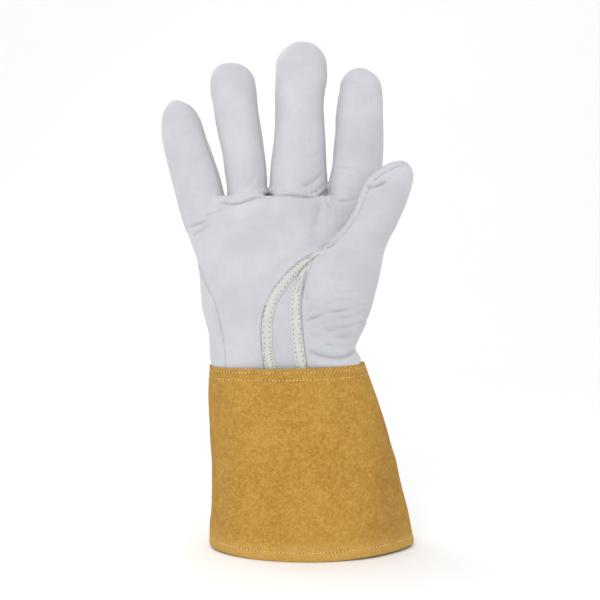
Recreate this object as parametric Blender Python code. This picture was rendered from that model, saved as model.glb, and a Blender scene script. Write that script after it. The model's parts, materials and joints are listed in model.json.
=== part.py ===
"""A right-hand TIG welding glove: a supple grain-leather hand sewn into a flared split-leather cuff.

The glove stands on its hem. +Z runs up the fingers, -Y points out of the palm, and +X is the thumb's side.
Lengths below are in millimetres, and MM turns them into Blender's metres.
"""

import math
from collections import namedtuple
from functools import partial

import bmesh
import bpy
from mathutils import Matrix, Vector
from mathutils.bvhtree import BVHTree

MM = 0.001

# Driving dimensions of a size 9 glove.
CUFF_TOP = 121.0  # height of the cuff's top edge over the hem
WRIST_END = 111.0  # the hand's lower edge, which hangs inside the cuff
HAND_LEATHER = 1.1  # grain leather of the hand
CUFF_LEATHER = 1.6  # split leather of the cuff
BAND_LEATHER = 0.8  # strips sewn over the palm's two long seams
GAP = 0.4  # between pieces that are sewn to each other
THREAD = 0.45  # radius of a row of stitches
SIDE_GAP = 0.32  # how far the front and back of a finger stand off their shared seam
SIDE_GAP_TURN = math.radians(2.2)  # the same gap, as a turn round a finger

CURL = 7.0  # how far each relaxed fingertip comes forward
MIDDLE_CREASE = 0.47  # where a finger bends, as a share of its length
SEAM_TAPER = (0.55, 0.88)  # stretch of a finger over which its side strips narrow to a point
SEAM_CLOSE = 0.07  # share of a finger past the strip in which front and back close up

# name, base (x, z), tip (x, z), half-width at base and tip, waist, half-depth at base and tip,
# length of the rounded tip, and the sides that face another finger (-1 is towards the little finger).
Finger = namedtuple("Finger", "name base tip width waist depth dome inner_sides")
FINGERS = (
    Finger("little", (-54.3, 222.0), (-70.8, 292.5), (15.0, 14.0), 0.0, (12.5, 9.0), 20.0, (1,)),
    Finger("ring", (-26.0, 229.5), (-36.0, 316.5), (13.2, 14.3), 0.0, (13.0, 10.0), 13.0, (-1, 1)),
    Finger("middle", (7.2, 232.0), (9.7, 330.0), (17.6, 16.0), 1.0, (13.0, 10.5), 15.0, (-1, 1)),
    Finger("index", (44.4, 231.2), (47.2, 313.0), (16.4, 14.2), 0.0, (12.8, 10.0), 15.0, (-1,)),
)

# Palm sections: height, left edge, right edge, half-depth.
PALM_STATIONS = (
    (100.0, -45.0, 42.0, 19.0),
    (115.0, -46.0, 43.5, 20.0),
    (130.0, -49.5, 45.5, 20.8),
    (147.0, -52.0, 47.0, 20.0),
    (168.0, -56.0, 50.0, 18.5),
    (188.0, -59.0, 53.0, 17.0),
    (205.0, -64.0, 57.0, 15.5),
    (225.0, -71.0, 61.0, 13.6),
    (245.0, -77.0, 64.0, 12.6),
)
# Thumb sections: step along it, centre x, y and z, half-width, half-depth.
THUMB_STATIONS = (
    (0.0, 22.0, 1.0, 133.0, 13.0, 10.0),
    (1.0, 29.5, -6.0, 159.0, 23.5, 17.0),
    (2.0, 36.0, -15.5, 180.0, 21.8, 17.0),
    (3.0, 45.0, -25.5, 196.0, 17.5, 15.0),
    (4.0, 52.5, -32.5, 208.5, 14.8, 13.2),
    (5.0, 58.5, -36.5, 221.5, 13.4, 12.0),
    (6.0, 64.5, -38.5, 234.0, 12.9, 11.0),
    (7.0, 70.0, -39.0, 246.5, 12.2, 10.0),
)
THUMB_ROOT, THUMB_CREASE, THUMB_END = 3.0, 4.9, 7.0  # steps of its two bends and its tip
THUMB_DOME = 1.15  # steps that the rounded tip takes
THUMB_SIZE_POWER = 2.1
THUMB_FOLD = math.radians(45)  # how far its bends turn from straight ahead towards the little finger
WRIST_AXIS = (-1.5, 0.0, 120.0)
MIDDLE = (0.67, -6.81, 0.0)  # of the whole glove, at the hem
PALM_POWER = (2.3, 3.6)  # at the wrist and at the fingers: 2 is an ellipse, and more is squarer
CUFF_POWER = 2.15

# Cuff: left edge, right edge at top and hem, half-depth at top and hem, and where its one seam is.
CUFF_LEFT = -50.5
CUFF_RIGHT = (50.0, 82.0)
CUFF_FLARE = 0.8  # under 1, the flare starts quickly below the wrist
CUFF_DEPTH = (27.0, 35.0)
CUFF_SEAM = math.radians(38)
HEM_HEIGHT = 12.0
HEM_THICK = 3.2

# Seams in the palm, as (x, z) seen from the front, from the wrist upwards.
ULNAR_SEAM = ((-38.5, 100), (-39.5, 124), (-41.6, 139.5), (-44.6, 154), (-49.4, 166), (-57, 180), (-95, 196))
PALM_SEAM = (
    (-13.5, 100), (-13.9, 118.4), (-15.5, 138.3), (-15.1, 154), (-12.1, 163.5), (-4.9, 175.5),
    (5.9, 185.8), (14.3, 191.2), (22.1, 194.6),
)
THUMB_SEAM = ((13.4, 100), (12.5, 119), (10.1, 133.4), (8.9, 147.9), (8.9, 163.5), (11.3, 173.2), (14.6, 185.0))
BAND_WIDTH = 5.6
STITCH_INSETS = (1.4, 4.3)  # the two rows of each band, from its outer edge
CUFF_ROWS = (117.2, 111.4)  # two rows that join the hand to the cuff
HEM_ROW = 7.0
ELASTIC = (138.0, 146.0)  # height of the elastic inside the back of the wrist
ELASTIC_TURNS = (math.radians(42), math.radians(138))
FRONT_BACK_SPLIT = 2.0  # the side seams lie this far behind the glove's middle plane

WHITE_LEATHER = ("hand_leather", (0.80, 0.80, 0.81, 1), 0.55)
GOLD_SUEDE = ("cuff_suede", (0.62, 0.36, 0.07, 1), 0.95)
PALE_BAND = ("seam_band", (0.83, 0.83, 0.79, 1), 0.65)
THREAD_WHITE = ("thread", (0.82, 0.78, 0.62, 1), 0.7)
ELASTIC_WHITE = ("elastic", (0.75, 0.75, 0.74, 1), 0.8)


# ---------------------------------------------------------------- helpers


def clear_scene():
    for thing in list(bpy.data.objects):
        bpy.data.objects.remove(thing)


def material(look):
    name, colour, roughness = look
    found = bpy.data.materials.get(name)
    if found:
        return found
    made = bpy.data.materials.new(name)
    made.use_nodes = True
    shader = made.node_tree.nodes["Principled BSDF"]
    shader.inputs["Base Color"].default_value = colour
    shader.inputs["Roughness"].default_value = roughness
    shader.inputs["Metallic"].default_value = 0.0
    made.diffuse_color = colour
    return made


def add_object(name, bm, look=None):
    """The bmesh as an object. Without a look it is a helper that no render shows."""
    mesh = bpy.data.meshes.new(name)
    bm.to_mesh(mesh)
    bm.free()
    mesh.shade_smooth()
    thing = bpy.data.objects.new(name, mesh)
    bpy.context.scene.collection.objects.link(thing)
    if look:
        mesh.materials.append(material(look))
    else:
        thing.hide_render = True
        thing.display_type = "WIRE"
    return thing


def along(stations, where):
    """Values of the stations at a place along them, on a smooth curve through every station."""
    last = len(stations) - 1
    i = max(0, min(last - 1, sum(1 for s in stations if s[0] <= where) - 1))

    def slope(k, column):
        low, high = max(0, k - 1), min(last, k + 1)
        return (stations[high][column] - stations[low][column]) / (stations[high][0] - stations[low][0])

    start, end = stations[i], stations[i + 1]
    step = end[0] - start[0]
    t = (where - start[0]) / step
    found = []
    for column in range(1, len(start)):
        low, high = start[column], end[column]
        first, second = slope(i, column) * step, slope(i + 1, column) * step
        found.append(
            (2 * t**3 - 3 * t**2 + 1) * low + (t**3 - 2 * t**2 + t) * first
            + (3 * t**2 - 2 * t**3) * high + (t**3 - t**2) * second
        )
    return found


def smooth_line(points, count):
    """A smooth line of count points through a few (x, z) points."""
    stations = [(i, *p) for i, p in enumerate(points)]
    last = len(points) - 1
    return [Vector(along(stations, last * i / (count - 1))) for i in range(count)]


def smoothstep(low, high, value):
    t = max(0.0, min(1.0, (value - low) / (high - low)))
    return t * t * (3 - 2 * t)


def squircle(turn, half_width, half_depth, power):
    """A point of a rounded section: turn 0 is +X, and -90 degrees is the front."""
    c, s = math.cos(turn), math.sin(turn)
    across = math.copysign(abs(c) ** (2 / power), c) * half_width
    deep = math.copysign(abs(s) ** (2 / power), s) * half_depth
    return across, deep


def sheet_mesh(surface, u_steps, v_steps):
    """A bmesh grid whose corners lie at surface(u, v), with u and v from 0 to 1, in millimetres."""
    bm = bmesh.new()
    bmesh.ops.create_grid(bm, x_segments=u_steps, y_segments=v_steps, size=1)
    for vertex in bm.verts:
        vertex.co = Vector(surface((vertex.co.x + 1) / 2, (vertex.co.y + 1) / 2)) * MM
    bmesh.ops.remove_doubles(bm, verts=bm.verts, dist=0.01 * MM)
    middle = sum((v.co for v in bm.verts), Vector()) / len(bm.verts)
    bm.normal_update()
    if sum(f.normal.dot(f.calc_center_median() - middle) * f.calc_area() for f in bm.faces) < 0:
        bmesh.ops.reverse_faces(bm, faces=bm.faces)
    return bm


def leather_piece(name, surface, u_steps, v_steps, thickness, look):
    """A piece of leather: its outer face is the surface, and its thickness goes inwards."""
    bm = sheet_mesh(surface, u_steps, v_steps)
    thing = add_object(name, bm, look)
    solidify = thing.modifiers.new("thickness", "SOLIDIFY")
    solidify.thickness = thickness * MM
    solidify.offset = -1.0
    return thing


def solid_tube(name, surface, u_steps, v_steps):
    """A closed solid: v runs once round, and both ends are capped."""
    bm = sheet_mesh(surface, u_steps, v_steps)
    bmesh.ops.holes_fill(bm, edges=bm.edges, sides=0)
    bmesh.ops.triangulate(bm, faces=[f for f in bm.faces if len(f.verts) > 4])
    bmesh.ops.recalc_face_normals(bm, faces=bm.faces)
    return add_object(name, bm)


def prism(name, outline, front, back):
    """An outline of (x, z) points, extruded from front to back along Y."""
    bm = bmesh.new()
    corners = [bm.verts.new((p[0] * MM, front * MM, p[1] * MM)) for p in outline]
    face = bm.faces.new(corners)
    pushed = bmesh.ops.extrude_face_region(bm, geom=[face])["geom"]
    moved = [v for v in pushed if isinstance(v, bmesh.types.BMVert)]
    bmesh.ops.translate(bm, verts=moved, vec=(0, (back - front) * MM, 0))
    bmesh.ops.triangulate(bm, faces=bm.faces)
    bmesh.ops.recalc_face_normals(bm, faces=bm.faces)
    return add_object(name, bm)


def boolean(thing, operation, *others):
    for other in others:
        cut = thing.modifiers.new(operation.lower(), "BOOLEAN")
        cut.operation = operation
        cut.solver = "EXACT"
        cut.object = other
    return thing


def settled(name, thing, look=None):
    """A new object that holds the evaluated mesh of another, which stays a helper."""
    graph = bpy.context.evaluated_depsgraph_get()
    bm = bmesh.new()
    bm.from_object(thing, graph)
    return add_object(name, bm, look)


def stitch_row(name, points, closed=False):
    """A row of stitches as one thin square thread along points given in millimetres."""
    points = [Vector(p) for p in points]
    count = len(points)
    bm = bmesh.new()
    rings = []
    for i, point in enumerate(points):
        ahead = points[(i + 1) % count] if closed else points[min(i + 1, count - 1)]
        behind = points[i - 1] if closed else points[max(i - 1, 0)]
        way = (ahead - behind).normalized()
        side = way.orthogonal() if abs(way.z) > 0.9 else way.cross(Vector((0, 0, 1)))
        side.normalize()
        over = side.cross(way)
        corners = [point + side * THREAD, point + over * THREAD, point - side * THREAD, point - over * THREAD]
        rings.append([bm.verts.new(c * MM) for c in corners])
    pairs = list(zip(rings, rings[1:]))
    if closed:
        pairs.append((rings[-1], rings[0]))
    else:
        bm.faces.new(rings[0])
        bm.faces.new(rings[-1])
    for low, high in pairs:
        for k in range(4):
            bm.faces.new((low[k], low[(k + 1) % 4], high[(k + 1) % 4], high[k]))
    bmesh.ops.recalc_face_normals(bm, faces=bm.faces)
    return add_object(name, bm, THREAD_WHITE)


# ---------------------------------------------------------------- surfaces


def palm_point(height, turn, inset=0.0):
    left, right, depth = along(PALM_STATIONS, height)
    power = PALM_POWER[0] + (PALM_POWER[1] - PALM_POWER[0]) * smoothstep(175, 225, height)
    across, deep = squircle(turn, (right - left) / 2 - inset, depth - inset, power)
    return (left + right) / 2 + across, deep, height


def cuff_point(height, turn, inset=0.0):
    drop = max(0.0, 1 - height / CUFF_TOP)
    right = CUFF_RIGHT[0] + (CUFF_RIGHT[1] - CUFF_RIGHT[0]) * drop**CUFF_FLARE
    depth = CUFF_DEPTH[0] + (CUFF_DEPTH[1] - CUFF_DEPTH[0]) * drop
    half_width = (right - CUFF_LEFT) / 2
    across, deep = squircle(turn, half_width - inset, depth - inset, CUFF_POWER)
    return CUFF_LEFT + half_width + across, deep, height


def thumb_frame(step):
    """Centre, the two directions of the section, and its half-sizes."""
    *centre, half_width, half_depth = along(THUMB_STATIONS, min(step, THUMB_END))
    reach = 0.05
    ahead = Vector(along(THUMB_STATIONS, min(step + reach, THUMB_END))[:3])
    behind = Vector(along(THUMB_STATIONS, max(step - reach, 0))[:3])
    forwards = (ahead - behind).normalized()
    across = Vector((0, 1, 0)).cross(forwards).normalized()
    return Vector(centre), across, forwards.cross(across), forwards, half_width, half_depth


def thumb_point(step, turn, inset=0.0):
    centre, across_way, deep_way, _, half_width, half_depth = thumb_frame(step)
    past = max(0.0, (step - (THUMB_END - THUMB_DOME)) / THUMB_DOME)
    close = math.sqrt(max(0.0, 1 - min(past, 1) ** 2))
    across, deep = squircle(
        turn, max(half_width - inset, 0) * close, max(half_depth - inset, 0) * close, THUMB_SIZE_POWER
    )
    return centre + across_way * across + deep_way * deep


def finger_frame(finger, share):
    """Centre and across direction of a finger's section at a share of its length."""
    base, tip = Vector(finger.base), Vector(finger.tip)
    way = (tip - base).normalized()
    flat = base.lerp(tip, share)
    centre = Vector((flat.x, -CURL * share**2, flat.y))
    return centre, Vector((way.y, 0, -way.x)), Vector((way.x, 0, way.y)), (tip - base).length


def finger_point(finger, share, turn):
    centre, across_way, _, length = finger_frame(finger, share)
    round_from = 1 - finger.dome / length
    past = max(0.0, (share - round_from) / (1 - round_from))
    close = math.sqrt(max(0.0, 1 - past**2))
    waist = finger.waist * 4 * share * (1 - share)
    half_width = finger.width[0] + (finger.width[1] - finger.width[0]) * share - waist
    half_depth = finger.depth[0] + (finger.depth[1] - finger.depth[0]) * share
    power = 3.0 - 0.9 * smoothstep(0.0, 0.35, share)
    across, deep = squircle(turn, half_width * close, half_depth * close, power)
    return centre + across_way * across + Vector((0, deep, 0))


# ---------------------------------------------------------------- fingers


def side_strip_turn(share):
    """Half the turn that a side strip between two fingers takes up."""
    widest, least = math.radians(30), math.radians(1.5)
    return widest - (widest - least) * smoothstep(*SEAM_TAPER, share)


def finger_piece(finger, name, low, high, face):
    """The front (-1) or back (+1) leather of a finger between two shares of its length."""

    def surface(u, v):
        share = low + (high - low) * (math.sin(u * math.pi / 2) if high == 1 else u)
        open_turn = side_strip_turn(share) + SIDE_GAP_TURN
        open_turn *= 1 - smoothstep(SEAM_TAPER[1], SEAM_TAPER[1] + SEAM_CLOSE, share)
        right = open_turn if 1 in finger.inner_sides else 0
        left = open_turn if -1 in finger.inner_sides else 0
        turn = face * (right + v * (math.pi - right - left))
        return finger_point(finger, share, turn) + Vector((0, face * SIDE_GAP, 0))

    steps = 8 if high == 1 else 5
    return leather_piece(name, surface, steps, 10, HAND_LEATHER, WHITE_LEATHER)


def side_strip(finger, name, low, high, side):
    """The strip between two fingers, along one side of a finger."""

    def surface(u, v):
        share = low + (high - low) * u
        spread = (2 * v - 1) * side_strip_turn(share)
        turn = spread if side == 1 else math.pi + spread
        return finger_point(finger, share, turn)

    return leather_piece(name, surface, 5, 3, HAND_LEATHER, WHITE_LEATHER)


def fingers():
    shift = 0.5  # millimetres between a finger's segments
    for finger in FINGERS:
        length = finger_frame(finger, 0)[3]
        parts = (
            ("", shift / length, MIDDLE_CREASE),
            ("_tip", MIDDLE_CREASE + shift / length, 1.0),
        )
        for suffix, low, high in parts:
            finger_piece(finger, f"{finger.name}_front{suffix}", low, high, -1)
            finger_piece(finger, f"{finger.name}_back{suffix}", low, high, 1)
            for side in finger.inner_sides:
                where = "thumb_side" if side == 1 else "little_side"
                strip_end = SEAM_TAPER[1] - 0.03 if high == 1 else high
                side_strip(finger, f"{finger.name}_fourchette_{where}{suffix}", low, strip_end, side)


# ---------------------------------------------------------------- hand


def palm_tube(name, inset, low, high):
    def surface(u, v):
        return palm_point(low + (high - low) * u, v * math.tau, inset)

    return solid_tube(name, surface, 9, 32)


def thumb_tube(name, inset, first, last):
    def surface(u, v):
        return thumb_point(first + (last - first) * u, v * math.tau, inset)

    return solid_tube(name, surface, 8, 20)


def finger_base_line():
    """The palm's top edge seen from the front: each finger's base, from the little finger on."""
    line = []
    for finger in FINGERS:
        centre, across, _, _ = finger_frame(finger, 0)
        for side in (-1, 1):
            end = centre + across * finger.width[0] * side
            line.append((end.x, end.z))
    first, second, *_ = line
    start = (-95, first[1] - (95 + first[0]) * (second[1] - first[1]) / (second[0] - first[0]))
    return [start, *line, (95, line[-1][1])]


def below_fingers(name):
    """Everything under the finger bases, from the hand's lower edge."""
    outline = [(-95, WRIST_END), (95, WRIST_END), *reversed(finger_base_line())]
    return prism(name, outline, -90, 90)


def hand_form(name, inset):
    """The palm and the thumb's root as one solid."""
    start = THUMB_STATIONS[0][0]
    end = THUMB_ROOT if inset <= 0 else THUMB_ROOT + 0.4
    palm = palm_tube(f"{name}_palm", inset, 100, 244)
    root = thumb_tube(f"{name}_root", inset, start, end)
    boolean(palm, "UNION", root)
    return settled(name, palm)


def offset_line(points, distance):
    """A line beside another, to its right seen from the start for a positive distance."""
    moved = []
    for i, point in enumerate(points):
        ahead, behind = points[min(i + 1, len(points) - 1)], points[max(i - 1, 0)]
        way = (ahead - behind).normalized()
        moved.append(point + Vector((way.y, -way.x)) * distance)
    return moved


def hand_panels(shell):
    """The palm, thumb root and gusset pieces, cut from the hand's shell, and the back that is left."""
    front, split = -90, FRONT_BACK_SPLIT
    half = GAP / 2
    palm_line = smooth_line(PALM_SEAM, 25)
    thumb_line = smooth_line(THUMB_SEAM, 19)
    ulnar_line = smooth_line(ULNAR_SEAM, 15)
    apex, root_left, root_right = Vector((22.1, 194.6)), Vector((32.5, 211.5)), Vector((64.5, 196.0))

    palm_edge = offset_line(palm_line, -half)
    palm_outline = [
        *offset_line(ulnar_line, half), (-95, 250), (95, 250), (95, 196.0 + GAP), root_right + Vector((0, GAP)),
        root_left + Vector((-half, half)), apex + Vector((-half, half)), *reversed(palm_edge),
    ]
    gusset_outline = [
        *offset_line(palm_line[:-1], half), *reversed(offset_line(thumb_line, -half)),
    ]
    root_outline = [
        *offset_line(thumb_line, half), apex + Vector((half, -half)), root_left + Vector((half, -half)),
        root_right, (95, 196.0), (95, 100),
    ]
    outlines = (("palm_panel", palm_outline), ("thumb_gusset", gusset_outline), ("thumb_root_panel", root_outline))
    for name, outline in outlines:
        cutter = prism(f"{name}_cutter", outline, front, split)
        piece = settled(name, boolean(settled(f"{name}_shell", shell), "INTERSECT", cutter), WHITE_LEATHER)
        yield piece

    front_outline = [*offset_line(ulnar_line, -half), (-95, 250), (95, 250), (95, 95), (-38.5 - half, 95)]
    cutter = prism("front_cutter", front_outline, front, split + GAP)
    yield settled("back_panel", boolean(settled("back_shell", shell), "DIFFERENCE", cutter), WHITE_LEATHER)


def drape(line, target, height):
    """Points of an (x, z) line, dropped from the front on to a solid and raised from it."""
    tree = BVHTree.FromObject(target, bpy.context.evaluated_depsgraph_get())
    dropped = []
    for point in line:
        hit, normal, *_ = tree.ray_cast(Vector((point[0], -200, point[1])) * MM, Vector((0, 1, 0)))
        dropped.append(hit / MM + normal * height)
    return dropped


def seam_bands(form):
    """The two raised strips that cover the palm's long seams, with two rows of stitches on each."""
    under = hand_form("band_under", -GAP)
    over = hand_form("band_over", -GAP - BAND_LEATHER)
    layer = settled("band_layer", boolean(over, "DIFFERENCE", under))
    palm_line = [p for p in smooth_line(PALM_SEAM, 40) if CUFF_TOP + 4 < p.y < 190]
    thumb_line = [p for p in smooth_line(THUMB_SEAM, 34) if CUFF_TOP + 4 < p.y < 176]
    bands = (("palm_seam_band", palm_line, 1), ("thumb_seam_band", thumb_line, -1))
    stitch_height = GAP + BAND_LEATHER + GAP + THREAD
    for name, line, side in bands:
        inner, outer = offset_line(line, side * GAP), offset_line(line, side * BAND_WIDTH)
        cutter = prism(f"{name}_cutter", [*inner, *reversed(outer)], -90, 0)
        settled(name, boolean(settled(f"{name}_layer", layer), "INTERSECT", cutter), PALE_BAND)
        for row, inset in zip(("outer", "inner"), STITCH_INSETS):
            path = offset_line(line, side * inset)[1:-1]
            stitch_row(f"{name}_{row}_stitches", drape(path, form, stitch_height))


def wrist_elastic():
    """Elastic inside the back of the wrist, and the zigzag row that holds it, on the outside."""
    low, high = ELASTIC
    start, end = ELASTIC_TURNS

    def surface(u, v):
        return palm_point(low + (high - low) * u, start + (end - start) * v, HAND_LEATHER + GAP)

    leather_piece("wrist_elastic", surface, 2, 14, 1.0, ELASTIC_WHITE)
    teeth = 22
    zigzag = [
        palm_point(low + 2 + (high - low - 4) * (i % 2), start + (end - start) * i / teeth, -GAP - THREAD)
        for i in range(teeth + 1)
    ]
    stitch_row("wrist_elastic_stitches", zigzag)


def hand():
    outer, inner = hand_form("hand_outer", 0.0), hand_form("hand_inner", HAND_LEATHER)
    shell = boolean(settled("hand_shell", outer), "DIFFERENCE", inner)
    boolean(shell, "INTERSECT", below_fingers("hand_limits"))
    list(hand_panels(shell))
    seam_bands(outer)
    wrist_elastic()


# ---------------------------------------------------------------- thumb


def thumb_piece(name, first, last, face, palm_block):
    def surface(u, v):
        step = first + (last - first) * (math.sin(u * math.pi / 2) if last == THUMB_END else u)
        return thumb_point(step, face * v * math.pi) + Vector((0, face * SIDE_GAP, 0))

    steps = 8 if last == THUMB_END else 6
    piece = leather_piece(name, surface, steps, 9, HAND_LEATHER, WHITE_LEATHER)
    if palm_block:
        boolean(piece, "DIFFERENCE", palm_block)
    return piece


def thumb():
    """The thumb's two bending parts, each a front and a back, trimmed where they pass the palm."""
    palm_block = palm_tube("palm_block", -GAP - 0.3, 100, 244)
    gap_step = 0.03
    thumb_piece("thumb_front", THUMB_ROOT + gap_step, THUMB_CREASE, -1, palm_block)
    thumb_piece("thumb_back", THUMB_ROOT + gap_step, THUMB_CREASE, 1, palm_block)
    thumb_piece("thumb_front_tip", THUMB_CREASE + gap_step, THUMB_END, -1, None)
    thumb_piece("thumb_back_tip", THUMB_CREASE + gap_step, THUMB_END, 1, None)


# ---------------------------------------------------------------- cuff


def cuff_sheet(name, low, high, inset, thickness, look, turns, steps):
    def surface(u, v):
        return cuff_point(low + (high - low) * u, turns[0] + (turns[1] - turns[0]) * v, inset)

    return leather_piece(name, surface, *steps, thickness, look)


def cuff():
    slit = GAP / 30
    wrap = (CUFF_SEAM + slit, CUFF_SEAM + math.tau - slit)
    below = -4.0
    panel = cuff_sheet("cuff_panel_sheet", below, CUFF_TOP, 0, CUFF_LEATHER, None, wrap, (7, 48))
    overlap = 0.5
    hem_inset = CUFF_LEATHER - overlap
    hem = cuff_sheet("cuff_hem_sheet", below, HEM_HEIGHT, hem_inset, HEM_THICK - hem_inset, None, wrap, (2, 48))
    boolean(panel, "UNION", hem)
    ground = [(-150, 0), (150, 0), (150, 200), (-150, 200)]
    settled("cuff_panel", boolean(panel, "INTERSECT", prism("cuff_limits", ground, -90, 90)), GOLD_SUEDE)

    strip_half = math.radians(7)
    strip = (CUFF_SEAM - strip_half, CUFF_SEAM + strip_half)
    backing = CUFF_LEATHER + 2 * GAP
    cuff_sheet("cuff_seam_backing", HEM_HEIGHT + 2, WRIST_END - 3, backing, 1.2, GOLD_SUEDE, strip, (5, 4))

    for side in (-1, 1):
        turn = CUFF_SEAM + side * math.radians(3)
        row = [cuff_point(HEM_ROW + 3 + i * 8.5, turn, -GAP - THREAD) for i in range(12)]
        stitch_row(f"cuff_seam_stitches_{'front' if side < 0 else 'rear'}", row)
    rows = (("cuff_stitches_upper", CUFF_ROWS[0]), ("cuff_stitches_lower", CUFF_ROWS[1]), ("hem_stitches", HEM_ROW))
    for name, height in rows:
        ring = [cuff_point(height, math.tau * i / 40, -GAP - THREAD) for i in range(40)]
        stitch_row(name, ring, closed=True)


# ---------------------------------------------------------------- joints


def finger_joint(finger, share):
    """Place and axis of a finger's bend: a line across its front, so that the finger folds over it."""
    centre, across, _, _ = finger_frame(finger, share)
    depth = finger.depth[0] + (finger.depth[1] - finger.depth[0]) * share
    return centre - Vector((0, depth + GAP, 0)), across


def thumb_joint(step):
    """Place and axis of a thumb's bend, which folds it forwards and over the palm."""
    centre, across, deep, forwards, half_width, half_depth = thumb_frame(step)
    c, s = math.cos(THUMB_FOLD), math.sin(THUMB_FOLD)
    fold_way = -(deep * c + across * s)
    reach = math.hypot(half_depth * c, half_width * s) + GAP
    return centre + fold_way * reach, forwards.cross(fold_way)


def hang_on(name, place, axis, pieces, parent=None):
    """An empty on a joint, with its X axis along the joint's, that carries the moving pieces."""
    pivot = bpy.data.objects.new(name, None)
    bpy.context.scene.collection.objects.link(pivot)
    turn = Vector((1, 0, 0)).rotation_difference(axis).to_matrix().to_4x4()
    pivot.matrix_world = Matrix.Translation(place * MM) @ turn
    bpy.context.view_layer.update()
    for child, above in ((pivot, parent), *((piece, pivot) for piece in pieces)):
        if above:
            child.parent = above
            child.matrix_parent_inverse = above.matrix_world.inverted()
    return pivot


def joints():
    """Every moving body on its pivot: the hand on the cuff, and the thumb and fingers on the hand.

    The cuff's pivot carries all of them, and its place puts the frame's origin in the middle of the whole.
    """
    pieces = [o for o in bpy.context.scene.objects if not o.hide_render]
    bends = {f.name: (f.name, partial(finger_joint, f), (0.0, MIDDLE_CREASE)) for f in FINGERS}
    bends["thumb"] = (("thumb_front", "thumb_back"), thumb_joint, (THUMB_ROOT, THUMB_CREASE))
    jointed = {name: [p for p in pieces if p.name.startswith(bend[0])] for name, bend in bends.items()}
    cuff_pieces = [p for p in pieces if p.name.startswith(("cuff_", "hem_"))]
    elsewhere = {p for mine in (cuff_pieces, *jointed.values()) for p in mine}
    rest = [p for p in pieces if p not in elsewhere]
    glove = hang_on("glove", Vector(), Vector((1, 0, 0)), cuff_pieces)
    wrist = hang_on("wrist_pivot", Vector(WRIST_AXIS), Vector((1, 0, 0)), rest, glove)
    for name, (_, joint, (low, high)) in bends.items():
        tips = [p for p in jointed[name] if p.name.endswith("_tip")]
        roots = [p for p in jointed[name] if p not in tips]
        knuckle = hang_on(f"{name}_knuckle_pivot", *joint(low), roots, wrist)
        hang_on(f"{name}_middle_pivot", *joint(high), tips, knuckle)
    glove.location = -Vector(MIDDLE) * MM


clear_scene()
cuff()
hand()
fingers()
thumb()
joints()
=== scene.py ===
# %% [markdown]
# # A welding glove in leather
# The glove stands on its hem, palm to the front. The hand is thin white grain leather, and the cuff is thick
# napped split leather. The imported model gives the bodies that move: the cuff, the hand, and two parts for each
# finger and the thumb. Every piece made here replaces some of its plain nodes, and the cuff's pieces are attached to
# the cuff's body.

# %% The imported model
import json
import math

import bmesh
import bpy
import numpy as np
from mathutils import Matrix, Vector, noise
from mathutils.bvhtree import BVHTree


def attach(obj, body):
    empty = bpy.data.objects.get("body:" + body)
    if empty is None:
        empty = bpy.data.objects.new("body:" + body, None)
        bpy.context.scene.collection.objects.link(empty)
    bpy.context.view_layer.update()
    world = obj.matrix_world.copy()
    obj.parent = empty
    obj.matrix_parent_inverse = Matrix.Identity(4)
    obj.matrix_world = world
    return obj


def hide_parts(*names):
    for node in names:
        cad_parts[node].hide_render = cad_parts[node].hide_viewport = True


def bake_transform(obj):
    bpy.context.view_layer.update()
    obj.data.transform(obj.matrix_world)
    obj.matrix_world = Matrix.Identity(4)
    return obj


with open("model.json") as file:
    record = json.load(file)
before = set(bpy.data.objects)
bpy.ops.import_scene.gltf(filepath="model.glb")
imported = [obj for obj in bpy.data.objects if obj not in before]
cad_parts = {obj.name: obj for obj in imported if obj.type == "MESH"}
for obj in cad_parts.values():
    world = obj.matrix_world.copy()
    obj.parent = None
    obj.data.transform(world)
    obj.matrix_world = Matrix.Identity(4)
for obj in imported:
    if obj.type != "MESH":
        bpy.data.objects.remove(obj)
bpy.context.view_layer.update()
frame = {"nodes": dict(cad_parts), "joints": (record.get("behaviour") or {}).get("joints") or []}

# %% [markdown]
# All sizes are in millimetres, as on a glove pattern. The pattern's middle plane runs through the fingers, but the
# model's origin is in the middle of its whole depth, thumb included, so `place` moves a point from one to the other.

# %% From the pattern to the model
MM = 0.001
MIDDLE = np.array((0.67, -6.81, 0.0))


def place(x, y, z):
    return Vector((x, y, z) - MIDDLE) * MM


def unplace(spots):
    """The opposite of place, for one spot or many, as an array."""
    return np.array(spots) / MM + MIDDLE


def pattern(mesh):
    """The mesh's corners in pattern millimetres."""
    flat = np.empty(len(mesh.vertices) * 3)
    mesh.vertices.foreach_get("co", flat)
    return unplace(flat.reshape(-1, 3))


def smoothstep(low, high, value):
    t = np.clip((np.asarray(value, float) - low) / (high - low), 0, 1)
    return t * t * (3 - 2 * t)


# %% [markdown]
# A sewn form is described by a few sections, and a smooth curve fills in the rest. `along` reads such a table at any
# place. It is the same rule that draws a curve through points in the editor: each section keeps the slope between
# its neighbours. `section` does it for many heights at once, and `hump` is the bell curve that shapes most folds.

# %% Smooth curves through a few sections
def along(table, where):
    """A row of the table at a place along its first column, on a smooth curve through all rows."""
    last = len(table) - 1
    i = max(0, min(last - 1, sum(1 for row in table if row[0] <= where) - 1))

    def slope(k, column):
        low, high = max(0, k - 1), min(last, k + 1)
        return (table[high][column] - table[low][column]) / (table[high][0] - table[low][0])

    start, end = table[i], table[i + 1]
    step = end[0] - start[0]
    t = (where - start[0]) / step
    row = []
    for column in range(1, len(start)):
        first, second = slope(i, column) * step, slope(i + 1, column) * step
        row.append(
            (2 * t**3 - 3 * t**2 + 1) * start[column] + (t**3 - 2 * t**2 + t) * first
            + (3 * t**2 - 2 * t**3) * end[column] + (t**3 - t**2) * second
        )
    return row


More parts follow.
